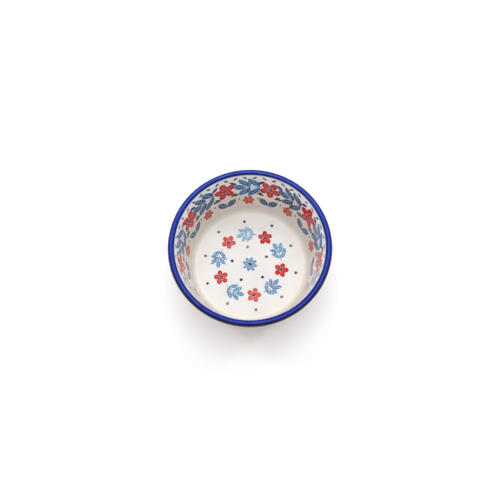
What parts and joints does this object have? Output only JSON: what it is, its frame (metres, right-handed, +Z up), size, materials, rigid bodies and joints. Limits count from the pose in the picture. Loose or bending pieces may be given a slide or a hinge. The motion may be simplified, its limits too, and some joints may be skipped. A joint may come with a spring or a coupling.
{
  "type": "ramekin",
  "caption": "Round tapered stoneware ramekin with a rounded lip, a coloured band over the lip, a decorated cream glaze and a bare clay foot ring, for baking and serving one portion.",
  "frame": {"origin": "centre of the foot ring's contact plane", "axes": "+Z up along the dish's axis; the dish is round, so +X and +Y are free, and the picture looks from -Y and above"},
  "size_m": [0.09, 0.09, 0.048],
  "materials": {
    "bare_stoneware": "unglazed fired clay, matt, seen on the foot ring only",
    "cream_glaze": "clear gloss glaze over a cream ground with stamped decoration in red, blue and orange",
    "cobalt_glaze": "cobalt blue gloss glaze, brushed on round the lip"
  },
  "bodies": {
    "root": {"stoneware_body": "bare_stoneware", "inside_glaze": "cream_glaze", "rim_band_glaze": "cobalt_glaze", "outside_glaze": "cream_glaze", "recess_glaze": "cream_glaze"}
  },
  "joints": []
}
